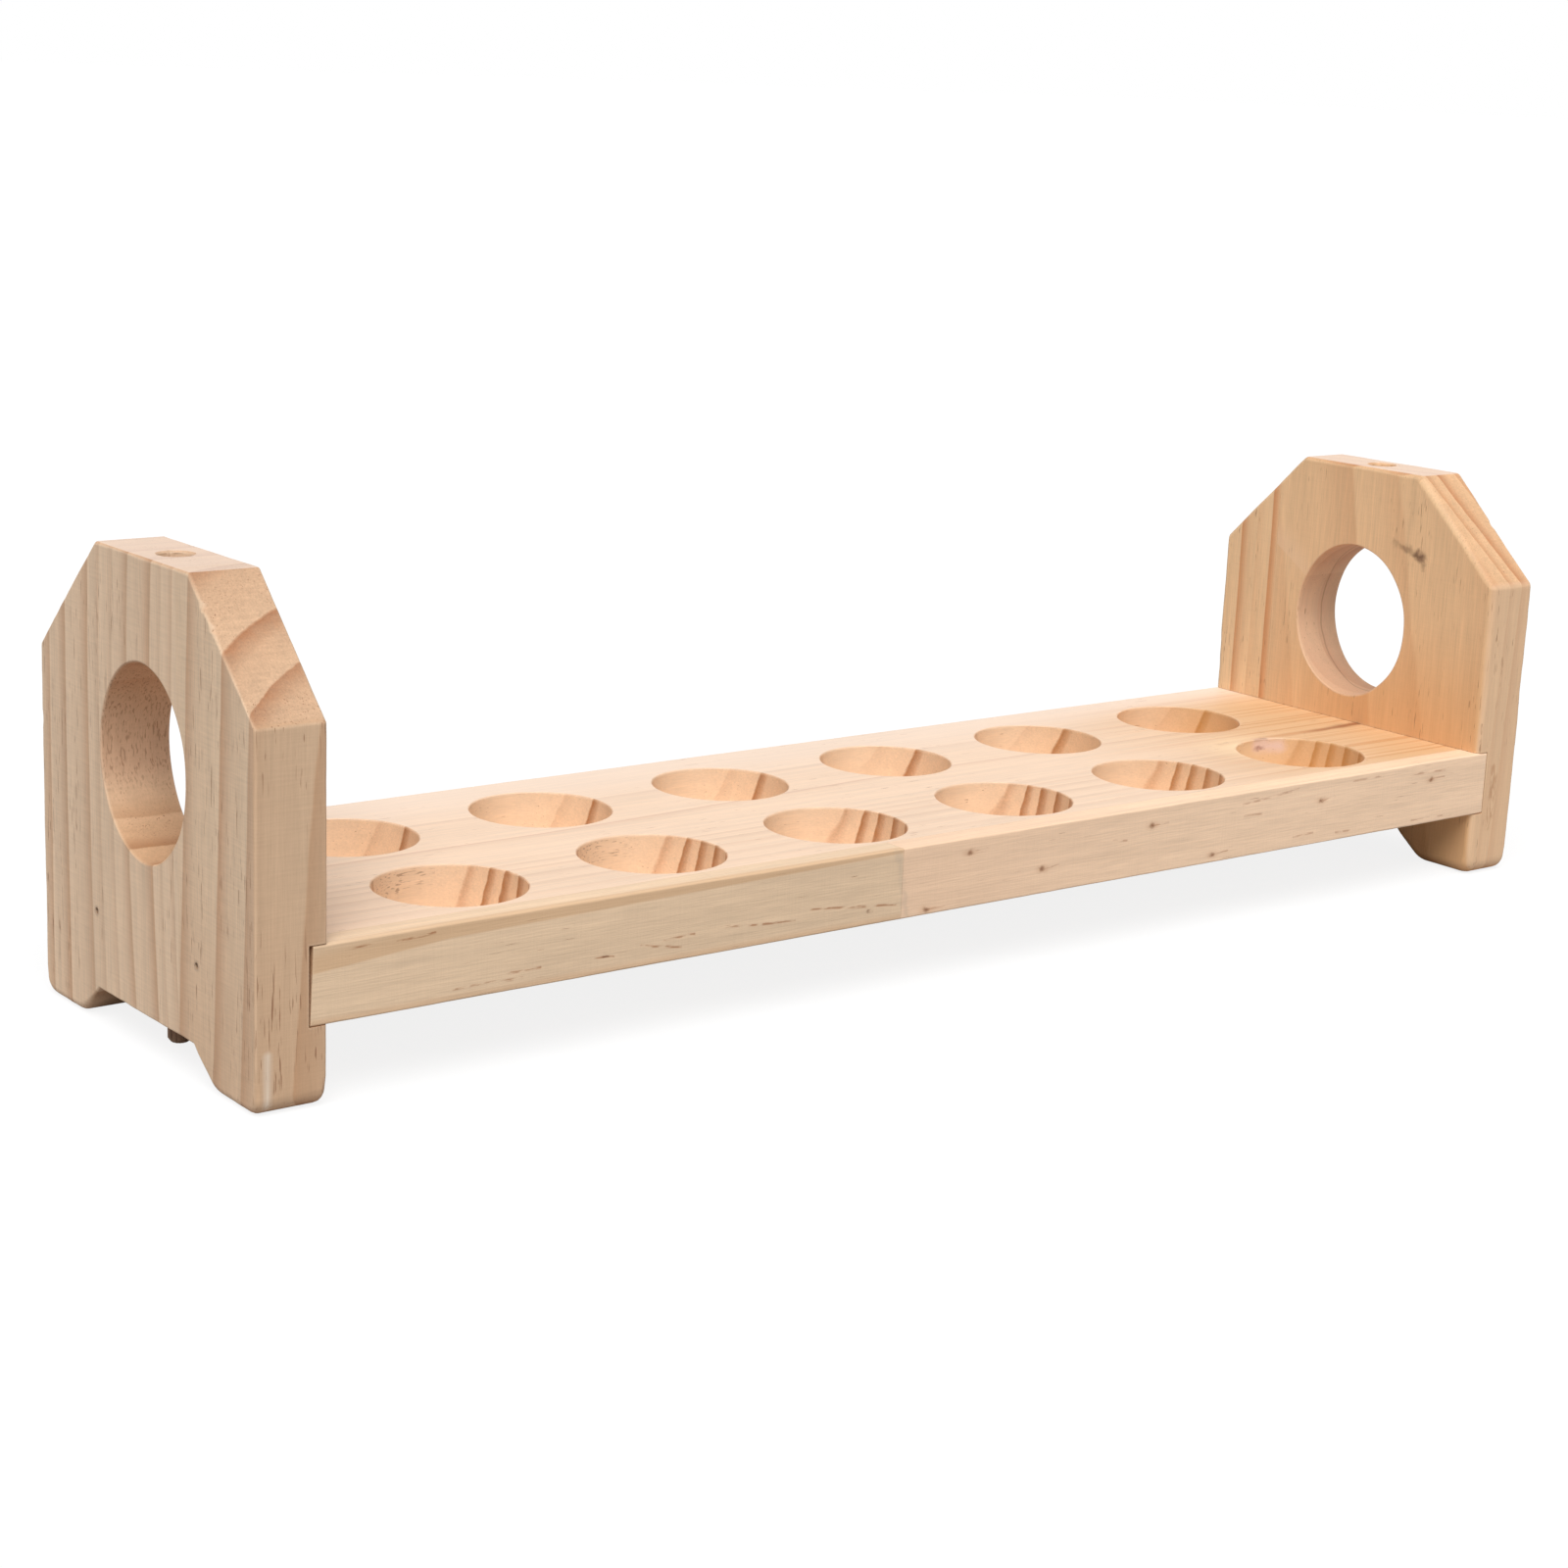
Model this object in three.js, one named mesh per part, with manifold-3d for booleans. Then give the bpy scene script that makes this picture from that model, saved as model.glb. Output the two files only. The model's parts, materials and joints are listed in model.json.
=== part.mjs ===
// Wooden paint rack: one shelf with two rows of bottle pockets, carried by two end boards.
// Each end has an oval hand hole, clipped top corners, two feet, and a peg below and a peg
// hole above, so that one rack stands on another.
//
// Millimetres. Origin: centre of the footprint, on the ground. +X along the rack's length,
// +Y from the front to the back, +Z up.

import * as THREE from 'three';
import { mergeVertices } from 'three/addons/utils/BufferGeometryUtils.js';
import Module from 'manifold-3d';

const wasm = await Module();
wasm.setup();

// ---- Driving dimensions ----

const LENGTH = 430;              // outer face to outer face of the end boards
const DEPTH = 110;               // front to back
const HEIGHT = 118.5;

const END_THICKNESS = 18;
const TOP_FLAT = 47.6;           // level top of an end board, between its clipped corners
const CLIP_DROP = 29.6;          // height that each clipped corner takes off
const ARCH_HEIGHT = 8.8;         // the cut-out between the feet
const ARCH_FLAT = 49.8;          // its level top
const FOOT_WIDTH = 20.3;         // each foot, on the ground
const HAND_HOLE_WIDTH = 43.8;    // the hand hole is a little taller than it is wide
const HAND_HOLE_HEIGHT = 47.2;
const HAND_HOLE_Z = 69.9;

const SHELF_BOTTOM = 19.1;
const SHELF_THICKNESS = 19;
const HOUSING_DEPTH = 4.6;       // how far the shelf is let into each end board
const HOUSING_END_GAP = 0.3;     // between the shelf's end and the housing's floor
const HOUSING_SIDE_GAP = 0.1;    // above and below the shelf in its housing

const POCKET_COLUMNS = 6;
const POCKET_RADIUS = 19;
const POCKET_DEPTH = 13;
const POCKET_PITCH = 59.4;       // along the rack
const ROW_SPACING = 51.5;        // between the two rows
const FIRST_POCKET = 67.1;       // from the rack's left end to the first pocket's centre
const FRONT_ROW = 28;            // from the front edge to the front row's centres

// The boards are glued up from narrower staves.
const LEFT_GLUE_LINE = 37;       // from the front: front stave against the left main board
const RIGHT_GLUE_LINE = 88;      // from the front: right main board against the rear stave
const EDGE_STRIP_WIDTH = 7;      // strip along the shelf's front edge
const EDGE_STRIP_BUTT = 186;     // from the rack's left end to the joint between its halves

const PEG_RADIUS = 3;
const PEG_TIP_Z = 1;             // the peg stops just short of the ground
const PEG_SOCKET_DEPTH = 16;
const PEG_TIP_CHAMFER = 0.7;
const PEG_HOLE_RADIUS = 4.2;     // in the end board's top, for the peg of the rack above
const PEG_HOLE_DEPTH = 12;

const BRAD_RADIUS = 0.6;
const BRAD_LENGTH = 30;
const BRAD_POINT = 1.8;
const BRAD_SUNK = 0.8;           // how far the head lies below the end board's face
const BRAD_Z = 28.2;
const FRONT_BRAD = 28.2;         // from the front edge
const BRAD_SPACING = 52.2;

const FIT_GAP = 0.2;             // all round a peg or a brad in its hole
const EDGE_EASE = 1.5;           // sanded edges of the end boards
const FOOT_ROUNDING = 2.5;
const CORNER_ROUNDING = 1.6;
const SHELF_EASE = 0.9;
const HAND_HOLE_EASE = 0.5;
const RIM_CHAMFER = 0.5;         // mouths of the pockets and peg holes

const ARC_STEPS = 3;             // straight pieces in a small rounding
const POCKET_SIDES = 40;
const HAND_HOLE_SIDES = 64;
const PEG_SIDES = 24;
const BRAD_SIDES = 10;
const OVERRUN = 5;               // how far a cutter runs out of the wood

// ---- Derived places ----

const FRONT = -DEPTH / 2;
const BACK = DEPTH / 2;
const SHELF_TOP = SHELF_BOTTOM + SHELF_THICKNESS;
const HOUSING_FLOOR = LENGTH / 2 - END_THICKNESS + HOUSING_DEPTH;
const SHELF_HALF_LENGTH = HOUSING_FLOOR - HOUSING_END_GAP;
const END_CENTRE = LENGTH / 2 - END_THICKNESS / 2;
const PEG_SOCKET_TOP = ARCH_HEIGHT + PEG_SOCKET_DEPTH;

// ---- Finishes ----

const finish = (color, roughness, metalness = 0) =>
  new THREE.MeshStandardMaterial({ color, roughness, metalness });
const LEFT_END_PINE = () => finish(0xe3c39a, 0.62);
const RIGHT_END_PINE = () => finish(0xe8bd85, 0.58);
const SHELF_PINE = () => finish(0xf0d3ae, 0.6);
const PEG_WOOD = () => finish(0xa9764a, 0.75);
const BRAD_STEEL = () => finish(0x55504a, 0.45, 0.9);

// ---- Solids ----

/** A closed three.js geometry as a solid that can be cut. */
function solid(geometry) {
  geometry.deleteAttribute('normal');
  geometry.deleteAttribute('uv');
  const merged = mergeVertices(geometry);
  return new wasm.Manifold(new wasm.Mesh({
    numProp: 3,
    vertProperties: new Float32Array(merged.attributes.position.array),
    triVerts: new Uint32Array(merged.index.array),
  }));
}

/** A cut solid as a named mesh. */
function piece(name, body, material) {
  const { vertProperties, triVerts } = body.getMesh();
  const geometry = new THREE.BufferGeometry();
  geometry.setAttribute('position', new THREE.BufferAttribute(vertProperties, 3));
  geometry.setIndex(new THREE.BufferAttribute(triVerts, 1));
  geometry.computeVertexNormals();
  const mesh = new THREE.Mesh(geometry, material);
  mesh.name = name;
  return mesh;
}

/** A block between two opposite corners. */
function block([x0, y0, z0], [x1, y1, z1]) {
  const geometry = new THREE.BoxGeometry(x1 - x0, y1 - y0, z1 - z0);
  return solid(geometry.translate((x0 + x1) / 2, (y0 + y1) / 2, (z0 + z1) / 2));
}

/** A [radius, height] profile turned about Z. */
function turned(profile, sides) {
  const points = profile.map(([radius, height]) => new THREE.Vector2(radius, height));
  return new THREE.LatheGeometry(points, sides).rotateX(Math.PI / 2);
}

/** A [y, z] outline drawn out along X, centred on the origin, with eased edges on both faces. */
function board(outline, thickness, ease) {
  const shape = new THREE.Shape(outline.map(([y, z]) => new THREE.Vector2(y, z)));
  const geometry = new THREE.ExtrudeGeometry(shape, {
    depth: thickness - 2 * ease,
    bevelEnabled: ease > 0,
    bevelThickness: ease,
    bevelSize: ease,
    bevelOffset: -ease,
    bevelSegments: ARC_STEPS,
  });
  geometry.translate(0, 0, ease - thickness / 2);
  // The shape's own x, y and depth become the board's Y, Z and X.
  return solid(geometry.rotateX(Math.PI / 2).rotateZ(Math.PI / 2));
}

/** Rounds each [y, z, radius] corner of a polygon with a short arc. */
function roundCorners(corners) {
  const outline = [];
  corners.forEach(([y, z, radius], i) => {
    const corner = new THREE.Vector2(y, z);
    const [before, after] = [corners.at(i - 1), corners[(i + 1) % corners.length]]
      .map(([otherY, otherZ]) => new THREE.Vector2(otherY, otherZ).sub(corner).normalize());
    const halfAngle = before.angleTo(after) / 2;
    const middle = before.clone().add(after).normalize();
    const centre = corner.clone().addScaledVector(middle, radius / Math.sin(halfAngle));
    const start = corner.clone().addScaledVector(before, radius / Math.tan(halfAngle)).sub(centre);
    const end = corner.clone().addScaledVector(after, radius / Math.tan(halfAngle)).sub(centre);
    const sweep = Math.atan2(start.cross(end), start.dot(end));
    for (let step = 0; step <= ARC_STEPS; step += 1) {
      const point = start.clone().rotateAround(new THREE.Vector2(), (sweep * step) / ARC_STEPS);
      outline.push([centre.x + point.x, centre.y + point.y]);
    }
  });
  return outline;
}

/** Profile points of a rim rounded from a hole's wall out to the face at height 0. */
function roundedRim(radius, ease) {
  const points = [];
  for (let step = 0; step <= ARC_STEPS; step += 1) {
    const angle = (Math.PI / 2) * (step / ARC_STEPS);
    points.push([radius + ease * (1 - Math.cos(angle)), ease * (Math.sin(angle) - 1)]);
  }
  return points;
}

/** Cutter for a blind round hole with a chamfered mouth at height 0, going down. */
function blindHole(radius, depth, chamfer, sides) {
  const widest = radius + chamfer;
  return turned([
    [0, -depth],
    [radius, -depth],
    [radius, -chamfer],
    [widest, 0],
    [widest, OVERRUN],
    [0, OVERRUN],
  ], sides);
}

/** Cutter for a round hole right through a board, with both rims rounded. */
function throughHole(radius, thickness, ease, sides) {
  const top = roundedRim(radius, ease).map(([r, height]) => [r, height + thickness / 2]);
  const bottom = top.map(([r, height]) => [r, -height]).reverse();
  const end = thickness / 2 + OVERRUN;
  const widest = radius + ease;
  const profile = [[0, -end], [widest, -end], ...bottom, ...top, [widest, end], [0, end]];
  return turned(profile, sides);
}

// ---- Fasteners ----

/** A headless brad pointing along Z, its blunt end at the origin. */
const bradGeometry = () => turned([
  [0, -BRAD_LENGTH],
  [BRAD_RADIUS, BRAD_POINT - BRAD_LENGTH],
  [BRAD_RADIUS, 0],
  [0, 0],
], BRAD_SIDES);

/** Where one end's two brads start: side is -1 on the left and 1 on the right. */
function bradPlaces(side) {
  const x = side * (LENGTH / 2 - BRAD_SUNK);
  return [FRONT_BRAD, FRONT_BRAD + BRAD_SPACING].map((fromFront) => [x, FRONT + fromFront, BRAD_Z]);
}

/** Holes that one end's two brads lie in, open at the end board's outer face. */
function bradHoles(side) {
  return bradPlaces(side).map(([x, y, z]) => {
    const length = BRAD_LENGTH + FIT_GAP + OVERRUN;
    const radius = BRAD_RADIUS + FIT_GAP;
    const hole = new THREE.CylinderGeometry(radius, radius, length, BRAD_SIDES).rotateZ(Math.PI / 2);
    return solid(hole.translate(x + side * (OVERRUN - length / 2), y, z));
  });
}

function brads(side, label) {
  return bradPlaces(side).map((place, i) => {
    const brad = bradGeometry().rotateY(side * Math.PI / 2);
    const mesh = piece(`brad_${label}_${i === 0 ? 'front' : 'rear'}`, solid(brad), BRAD_STEEL());
    mesh.position.set(...place);
    return mesh;
  });
}

// ---- End boards ----

function endOutline() {
  const clipFoot = HEIGHT - CLIP_DROP;
  const half = [
    [ARCH_FLAT / 2, ARCH_HEIGHT, CORNER_ROUNDING],
    [DEPTH / 2 - FOOT_WIDTH, 0, FOOT_ROUNDING],
    [DEPTH / 2, 0, FOOT_ROUNDING],
    [DEPTH / 2, clipFoot, CORNER_ROUNDING],
    [TOP_FLAT / 2, HEIGHT, CORNER_ROUNDING],
  ];
  const mirrored = half.map(([y, z, radius]) => [-y, z, radius]).reverse();
  return roundCorners([...half, ...mirrored]);
}

/** One whole end board, shaped and drilled, before it is parted at its glue line. */
function endBoard(side) {
  const centre = side * END_CENTRE;
  const handHole = throughHole(HAND_HOLE_HEIGHT / 2, END_THICKNESS, HAND_HOLE_EASE, HAND_HOLE_SIDES);
  handHole.scale(1, HAND_HOLE_WIDTH / HAND_HOLE_HEIGHT, 1);
  const pegHole = blindHole(PEG_HOLE_RADIUS, PEG_HOLE_DEPTH, RIM_CHAMFER, PEG_SIDES);
  const socketRadius = PEG_RADIUS + FIT_GAP;
  const socketLength = PEG_SOCKET_DEPTH + OVERRUN;
  const socket = new THREE.CylinderGeometry(socketRadius, socketRadius, socketLength, PEG_SIDES);
  socket.rotateX(Math.PI / 2);
  const housing = block(
    [Math.min(side * HOUSING_FLOOR, 0), FRONT - OVERRUN, SHELF_BOTTOM - HOUSING_SIDE_GAP],
    [Math.max(side * HOUSING_FLOOR, 0), BACK + OVERRUN, SHELF_TOP + HOUSING_SIDE_GAP],
  );
  const cutters = [
    solid(handHole.rotateY(Math.PI / 2).translate(centre, 0, HAND_HOLE_Z)),
    solid(pegHole.translate(centre, 0, HEIGHT)),
    solid(socket.translate(centre, 0, PEG_SOCKET_TOP - socketLength / 2)),
    housing,
    ...bradHoles(side),
  ];
  const blank = board(endOutline(), END_THICKNESS, EDGE_EASE).translate([centre, 0, 0]);
  return cutters.reduce((body, cutter) => body.subtract(cutter), blank);
}

/** The part of a body between two distances from the front edge. */
function betweenDepths(body, from, to) {
  return body.intersect(block(
    [-LENGTH, FRONT + from, -OVERRUN],
    [LENGTH, FRONT + to, HEIGHT + OVERRUN],
  ));
}

function peg(side, label) {
  const length = PEG_SOCKET_TOP - PEG_TIP_Z;
  const shape = turned([
    [0, -length],
    [PEG_RADIUS - PEG_TIP_CHAMFER, -length],
    [PEG_RADIUS, PEG_TIP_CHAMFER - length],
    [PEG_RADIUS, -FIT_GAP],
    [0, -FIT_GAP],
  ], PEG_SIDES);
  const mesh = piece(`${label}_stacking_peg`, solid(shape), PEG_WOOD());
  mesh.position.set(side * END_CENTRE, 0, PEG_SOCKET_TOP);
  return mesh;
}

function leftEnd() {
  const side = -1;
  const whole = endBoard(side);
  const group = new THREE.Group();
  group.add(
    piece('left_end_front_stave', betweenDepths(whole, -OVERRUN, LEFT_GLUE_LINE), LEFT_END_PINE()),
    piece('left_end_main_board', betweenDepths(whole, LEFT_GLUE_LINE, DEPTH + OVERRUN),
      LEFT_END_PINE()),
    peg(side, 'left'),
    ...brads(side, 'left'),
  );
  return group;
}

function rightEnd() {
  const side = 1;
  const whole = endBoard(side);
  const group = new THREE.Group();
  group.add(
    piece('right_end_main_board', betweenDepths(whole, -OVERRUN, RIGHT_GLUE_LINE),
      RIGHT_END_PINE()),
    piece('right_end_rear_stave', betweenDepths(whole, RIGHT_GLUE_LINE, DEPTH + OVERRUN),
      RIGHT_END_PINE()),
    peg(side, 'right'),
    ...brads(side, 'right'),
  );
  return group;
}

// ---- Shelf ----

function shelfOutline() {
  return roundCorners([
    [FRONT, SHELF_BOTTOM, SHELF_EASE],
    [BACK, SHELF_BOTTOM, SHELF_EASE],
    [BACK, SHELF_TOP, SHELF_EASE],
    [FRONT, SHELF_TOP, SHELF_EASE],
  ]);
}

function pockets() {
  const cutters = [];
  for (let column = 0; column < POCKET_COLUMNS; column += 1) {
    for (let row = 0; row < 2; row += 1) {
      const x = FIRST_POCKET + column * POCKET_PITCH - LENGTH / 2;
      const y = FRONT + FRONT_ROW + row * ROW_SPACING;
      const pocket = blindHole(POCKET_RADIUS, POCKET_DEPTH, RIM_CHAMFER, POCKET_SIDES);
      cutters.push(solid(pocket.translate(x, y, SHELF_TOP)));
    }
  }
  return cutters;
}

function shelf() {
  const cutters = [...pockets(), ...bradHoles(-1), ...bradHoles(1)];
  const blank = board(shelfOutline(), 2 * SHELF_HALF_LENGTH, 0);
  const whole = cutters.reduce((body, cutter) => body.subtract(cutter), blank);
  const strip = betweenDepths(whole, -OVERRUN, EDGE_STRIP_WIDTH);
  const butt = EDGE_STRIP_BUTT - LENGTH / 2;
  const leftOfButt = block([-LENGTH, FRONT - OVERRUN, 0], [butt, BACK, HEIGHT]);
  const group = new THREE.Group();
  group.add(
    piece('shelf_main_board', betweenDepths(whole, EDGE_STRIP_WIDTH, DEPTH + OVERRUN),
      SHELF_PINE()),
    piece('shelf_edge_strip_left', strip.intersect(leftOfButt), SHELF_PINE()),
    piece('shelf_edge_strip_right', strip.subtract(leftOfButt), SHELF_PINE()),
  );
  return group;
}

const rack = new THREE.Group();
rack.add(leftEnd(), shelf(), rightEnd());

export default rack;
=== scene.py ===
"""Looks of a wooden paint rack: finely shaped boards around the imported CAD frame, pine that is
worked out from each board's own growth rings, a pale studio and the camera.

Mesh code and wood patterns work in millimetres, in the frame's own axes: +X along the rack, +Y from
the front to the back, +Z up. Blender objects are in metres.
"""
import json
import math

import bpy
from mathutils import Matrix, Vector, noise


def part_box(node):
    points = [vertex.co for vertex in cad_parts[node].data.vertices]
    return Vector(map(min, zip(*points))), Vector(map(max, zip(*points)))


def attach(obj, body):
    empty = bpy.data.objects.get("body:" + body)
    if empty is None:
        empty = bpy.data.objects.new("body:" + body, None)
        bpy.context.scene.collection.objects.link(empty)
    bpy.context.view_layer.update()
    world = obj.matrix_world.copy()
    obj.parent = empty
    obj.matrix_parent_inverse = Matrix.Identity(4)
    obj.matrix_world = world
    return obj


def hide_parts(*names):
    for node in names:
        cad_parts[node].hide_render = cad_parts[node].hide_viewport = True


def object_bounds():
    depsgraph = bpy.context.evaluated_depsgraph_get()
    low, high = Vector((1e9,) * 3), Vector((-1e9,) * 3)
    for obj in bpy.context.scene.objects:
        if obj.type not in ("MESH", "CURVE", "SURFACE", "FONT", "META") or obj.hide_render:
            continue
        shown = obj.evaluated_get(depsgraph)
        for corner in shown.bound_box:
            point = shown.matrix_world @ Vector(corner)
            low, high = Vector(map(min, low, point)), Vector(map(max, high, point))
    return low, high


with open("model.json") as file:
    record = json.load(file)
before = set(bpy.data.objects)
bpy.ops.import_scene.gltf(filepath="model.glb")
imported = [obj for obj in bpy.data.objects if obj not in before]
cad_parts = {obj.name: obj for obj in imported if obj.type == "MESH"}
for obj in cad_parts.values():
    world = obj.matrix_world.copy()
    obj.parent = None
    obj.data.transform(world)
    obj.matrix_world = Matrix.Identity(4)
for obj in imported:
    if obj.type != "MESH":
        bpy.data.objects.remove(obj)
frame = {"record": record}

MM = 0.001
cad_box = [corner.copy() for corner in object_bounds()]


def box_mm(node):
    """The lowest and highest corner of a CAD node, in millimetres."""
    return [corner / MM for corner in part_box(node)]


# ---- Places taken from the frame ----

RACK_LOW, RACK_HIGH = [corner / MM for corner in cad_box]
FRONT, BACK = RACK_LOW.y, RACK_HIGH.y
HALF_LENGTH, HEIGHT = RACK_HIGH.x, RACK_HIGH.z
LEFT_GLUE = box_mm("left_end_main_board")[0].y
RIGHT_GLUE = box_mm("right_end_rear_stave")[0].y
INNER_FACE = -box_mm("left_end_main_board")[1].x
MID_BOARD = (HALF_LENGTH + INNER_FACE) / 2
FAR = 2 * HALF_LENGTH           # beyond the rack on every side
SHELF_LOW, SHELF_HIGH = box_mm("shelf_main_board")
STRIP_LINE = SHELF_LOW.y
STRIP_BUTT = box_mm("shelf_edge_strip_left")[1].x
PEG_LOW, PEG_HIGH = box_mm("left_stacking_peg")
PEG_RADIUS = (PEG_HIGH.x - PEG_LOW.x) / 2
POCKETS = [
    (Vector(low) + Vector(high)) / 2 / MM
    for low, high in (space["box_m"] for space in frame["record"]["physics"]["openings"])
]

# ---- Sizes that the frame's boxes don't give (mm) ----

TOP_FLAT = 47.6                 # width of an end board's top edge
CLIP_DROP = 29.6                # height of its clipped top corners
ARCH_HEIGHT, ARCH_FLAT = 8.8, 49.8
FOOT_WIDTH = 20.3
HAND_HOLE_WIDTH, HAND_HOLE_HEIGHT, HAND_HOLE_Z = 43.8, 47.2, 69.9
HOUSING_DEPTH, HOUSING_PLAY = 4.6, 0.1
POCKET_RADIUS, POCKET_DEPTH = 19.0, 13.0
PEG_HOLE_RADIUS, PEG_HOLE_DEPTH = 4.2, 12.0
PEG_PLAY = 0.2                  # between a peg and its socket
BRAD_HOLE_RADIUS, BRAD_HOLE_LENGTH = 0.8, 30.2
BRAD_SUNK = 0.8                 # how far a brad's head lies below the end board's face
GLUE_SEAM = 0.03                # each glued face stands back this far from the glue line
LEFT_ROUNDING, RIGHT_ROUNDING = 1.3, 2.4
INNER_FOOT_ROUNDING, OUTER_FOOT_ROUNDING = 6.5, 3.8
SHELF_ROUNDING = 0.6
BORE_STEP = 11.0                # from the inner face to a tool mark round the right hand hole
OVERRUN = 5.0                   # how far a cutter runs out of the wood
OUTLINE_STEP = 0.8              # spacing of points along an end board's outline
STATION_STEP = 1.6              # spacing of cross-sections along the shelf
SMOOTH_ANGLE = math.radians(34)
Z_TO_X = Matrix.Rotation(math.pi / 2, 4, "Y")


# ---- Mesh helpers ----

def new_object(name, data):
    thing = bpy.data.objects.new(name, data)
    bpy.context.scene.collection.objects.link(thing)
    return thing


def mesh_from(points, faces):
    mesh = bpy.data.meshes.new("shape")
    mesh.from_pydata([tuple(point) for point in points], [], faces)
    mesh.validate()
    mesh.update()
    return mesh


def stacked_rings(rings):
    """Closed skin over rings of points, all the same length, with a flat cap on both ends."""
    count = len(rings[0])
    faces = []
    for ring in range(len(rings) - 1):
        for i in range(count):
            j = (i + 1) % count
            a, b = ring * count, (ring + 1) * count
            faces.append((a + i, a + j, b + j, b + i))
    faces.append(tuple(reversed(range(count))))
    faces.append(tuple(range((len(rings) - 1) * count, len(rings) * count)))
    return mesh_from([point for ring in rings for point in ring], faces)


def turned(profile, sides, wobble=None):
    """A [radius, height] profile turned about Z; both ends close on a small flat."""
    rings = []
    for radius, height in profile:
        ring = []
        for i in range(sides):
            angle = math.tau * i / sides
            r, h = wobble(radius, height, angle) if wobble else (radius, height)
            ring.append(Vector((r * math.cos(angle), r * math.sin(angle), h)))
        rings.append(ring)
    return stacked_rings(rings)


def block(low, high):
    """A block between two opposite corners."""
    (x0, y0, z0), (x1, y1, z1) = low, high
    rings = [[(x0, y0, z), (x1, y0, z), (x1, y1, z), (x0, y1, z)] for z in (z0, z1)]
    return stacked_rings(rings)


def moved(mesh, matrix):
    mesh.transform(matrix)
    return mesh


def boolean(mesh, cutter, operation):
    """mesh cut by, or kept inside, a closed cutter."""
    objects = [new_object("temporary", part) for part in (mesh, cutter)]
    modifier = objects[0].modifiers.new("cut", "BOOLEAN")
    modifier.operation = operation
    modifier.object = objects[1]
    modifier.solver = "EXACT"
    depsgraph = bpy.context.evaluated_depsgraph_get()
    result = bpy.data.meshes.new_from_object(objects[0].evaluated_get(depsgraph))
    for thing in objects:
        bpy.data.objects.remove(thing)
    for part in (mesh, cutter):
        bpy.data.meshes.remove(part)
    return result


def cut(mesh, cutters):
    for cutter in cutters:
        mesh = boolean(mesh, cutter, "DIFFERENCE")
    return mesh


def part_inside(mesh, low, high):
    """A copy of the part of mesh that lies in a block."""
    return boolean(mesh.copy(), block(low, high), "INTERSECT")


def drift(place, size, amount):
    """Smooth wandering, up to about amount either way, over distances of about size."""
    return amount * noise.noise(Vector(place) / size)


def add_piece(name, mesh, material, node):
    """Adds a finished mesh in millimetres as the piece of the rack that stands for a CAD node."""
    mesh.transform(Matrix.Scale(MM, 4))
    mesh.name = name
    mesh.shade_smooth()
    mesh.set_sharp_from_angle(angle=SMOOTH_ANGLE)
    mesh.materials.clear()
    mesh.materials.append(material)
    thing = new_object(name, mesh)
    weighted = thing.modifiers.new("even_normals", "WEIGHTED_NORMAL")
    weighted.keep_sharp = True
    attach(thing, "root")
    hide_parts(node)


# ---- End boards ----

def end_corners(rounding):
    """[y, z, rounding] corners of an end board, anticlockwise seen with +Y to the right."""
    half = [
        (ARCH_FLAT / 2, ARCH_HEIGHT, rounding),
        (BACK - FOOT_WIDTH, 0, INNER_FOOT_ROUNDING),
        (BACK, 0, OUTER_FOOT_ROUNDING),
        (BACK, HEIGHT - CLIP_DROP, rounding),
        (TOP_FLAT / 2, HEIGHT, rounding),
    ]
    return half + [(-y, z, rounding) for y, z, rounding in reversed(half)]


def walk_outline(corners, step, arc_steps=5):
    """[point, outward normal] pairs round a polygon with rounded corners."""
    walk = []
    count = len(corners)
    points = [Vector((across, up)) for across, up, _ in corners]
    for i, corner in enumerate(points):
        rounding = corners[i][2]
        arriving = (corner - points[i - 1]).normalized()
        leaving = (points[(i + 1) % count] - corner).normalized()
        turn = math.atan2(arriving.x * leaving.y - arriving.y * leaving.x, arriving.dot(leaving))
        bulge = math.copysign(1, turn)
        normal = Vector((arriving.y, -arriving.x))
        start = corner - arriving * rounding * math.tan(abs(turn) / 2)
        centre = start - normal * rounding * bulge
        if walk:
            walk += straight_run(walk[-1][0], start, normal, step)
        for k in range(arc_steps + 1):
            swung = normal.copy()
            swung.rotate(Matrix.Rotation(turn * k / arc_steps, 2))
            walk.append((centre + swung * rounding * bulge, swung))
    closing = (walk[0][0] - walk[-1][0]).normalized()
    walk += straight_run(walk[-1][0], walk[0][0], Vector((closing.y, -closing.x)), step)
    return walk


def straight_run(start, end, normal, step):
    """Evenly spaced points strictly between two ends."""
    parts = max(1, round((end - start).length / step))
    return [(start.lerp(end, k / parts), normal) for k in range(1, parts)]


def eased_board(walk, outer, inner, ease_at, ease_steps=5):
    """A board between x = outer and x = inner; ease_at(y, z, x) says how far an edge is rounded."""
    into = math.copysign(1, inner - outer)
    rings = []
    for face, sign in ((outer, into), (inner, -into)):
        layers = []
        for k in range(ease_steps + 1):
            angle = math.pi / 2 * k / ease_steps
            ring = []
            for point, normal in walk:
                ease = ease_at(point.x, point.y, face)
                inset = ease * (1 - math.sin(angle))
                depth = ease * (1 - math.cos(angle))
                ring.append((face + sign * depth, *(point - normal * inset)))
            layers.append(ring)
        rings += layers if sign == into else reversed(layers)
    if into < 0:
        rings = [list(reversed(ring)) for ring in rings]
    return stacked_rings(rings)


def edge_chips(side):
    """[y, z, half width, extra rounding] of dents in the outer edge of an end board."""
    if side > 0:
        return [(-38.4, 104.7, 1.6, 0.7), (54.0, 61.0, 2.4, 0.5)]
    return [
        (-30.6, 112.0, 1.5, 1.1),
        (-35.0, 107.9, 1.2, 0.8),
        (-54.0, 7.0, 4.0, 0.8),
        (54.0, 70.0, 2.5, 0.5),
    ]


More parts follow.
